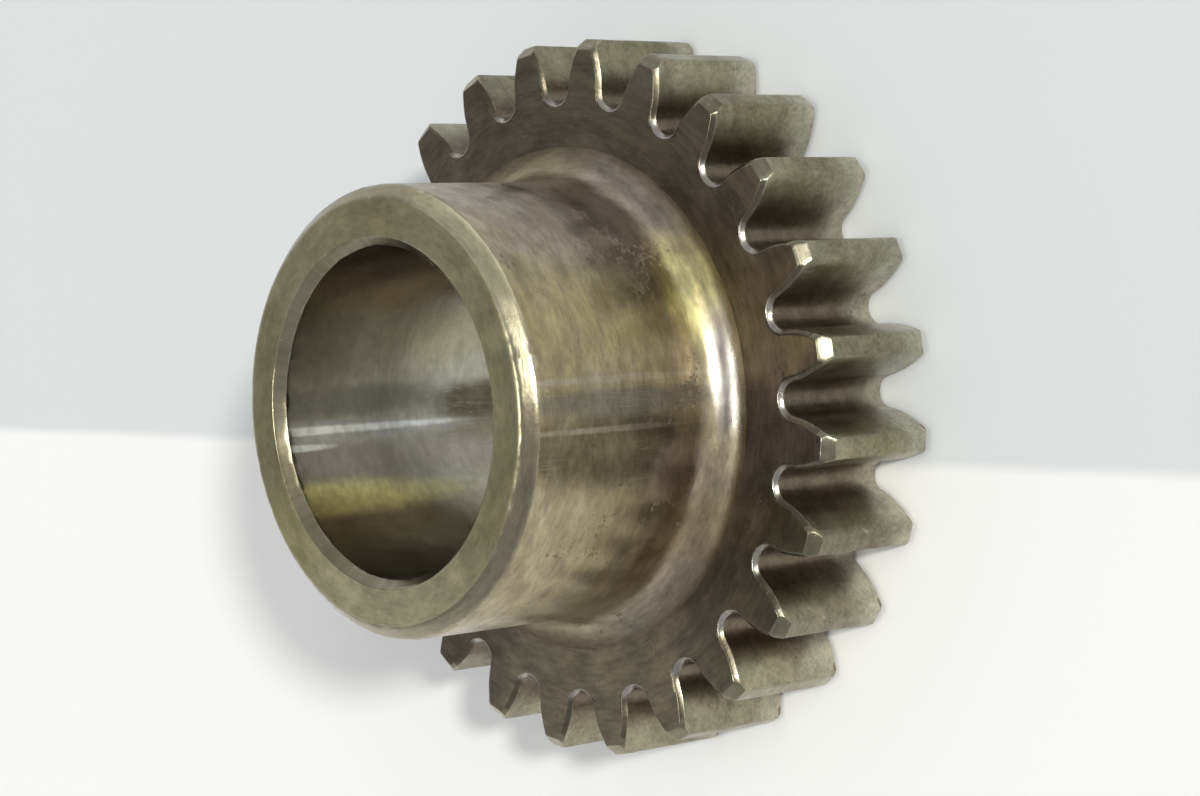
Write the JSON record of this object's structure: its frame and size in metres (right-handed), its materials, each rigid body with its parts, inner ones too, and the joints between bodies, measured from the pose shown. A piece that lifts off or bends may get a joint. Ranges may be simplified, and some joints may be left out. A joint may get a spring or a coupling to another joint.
{
  "type": "spur gear",
  "caption": "Steel spur gear cut in one piece with a long plain hub, a plain through bore and broken edges.",
  "frame": {"origin": "centre of the rear end face, which the gear stands on", "axes": "+Z along the bore axis, from the toothed rim towards the hub's nose; one tooth is centred on +X"},
  "size_m": [0.104, 0.104, 0.0555],
  "materials": {
    "steel": "worn satin"
  },
  "bodies": {
    "root": {"gear": "steel"}
  },
  "joints": []
}
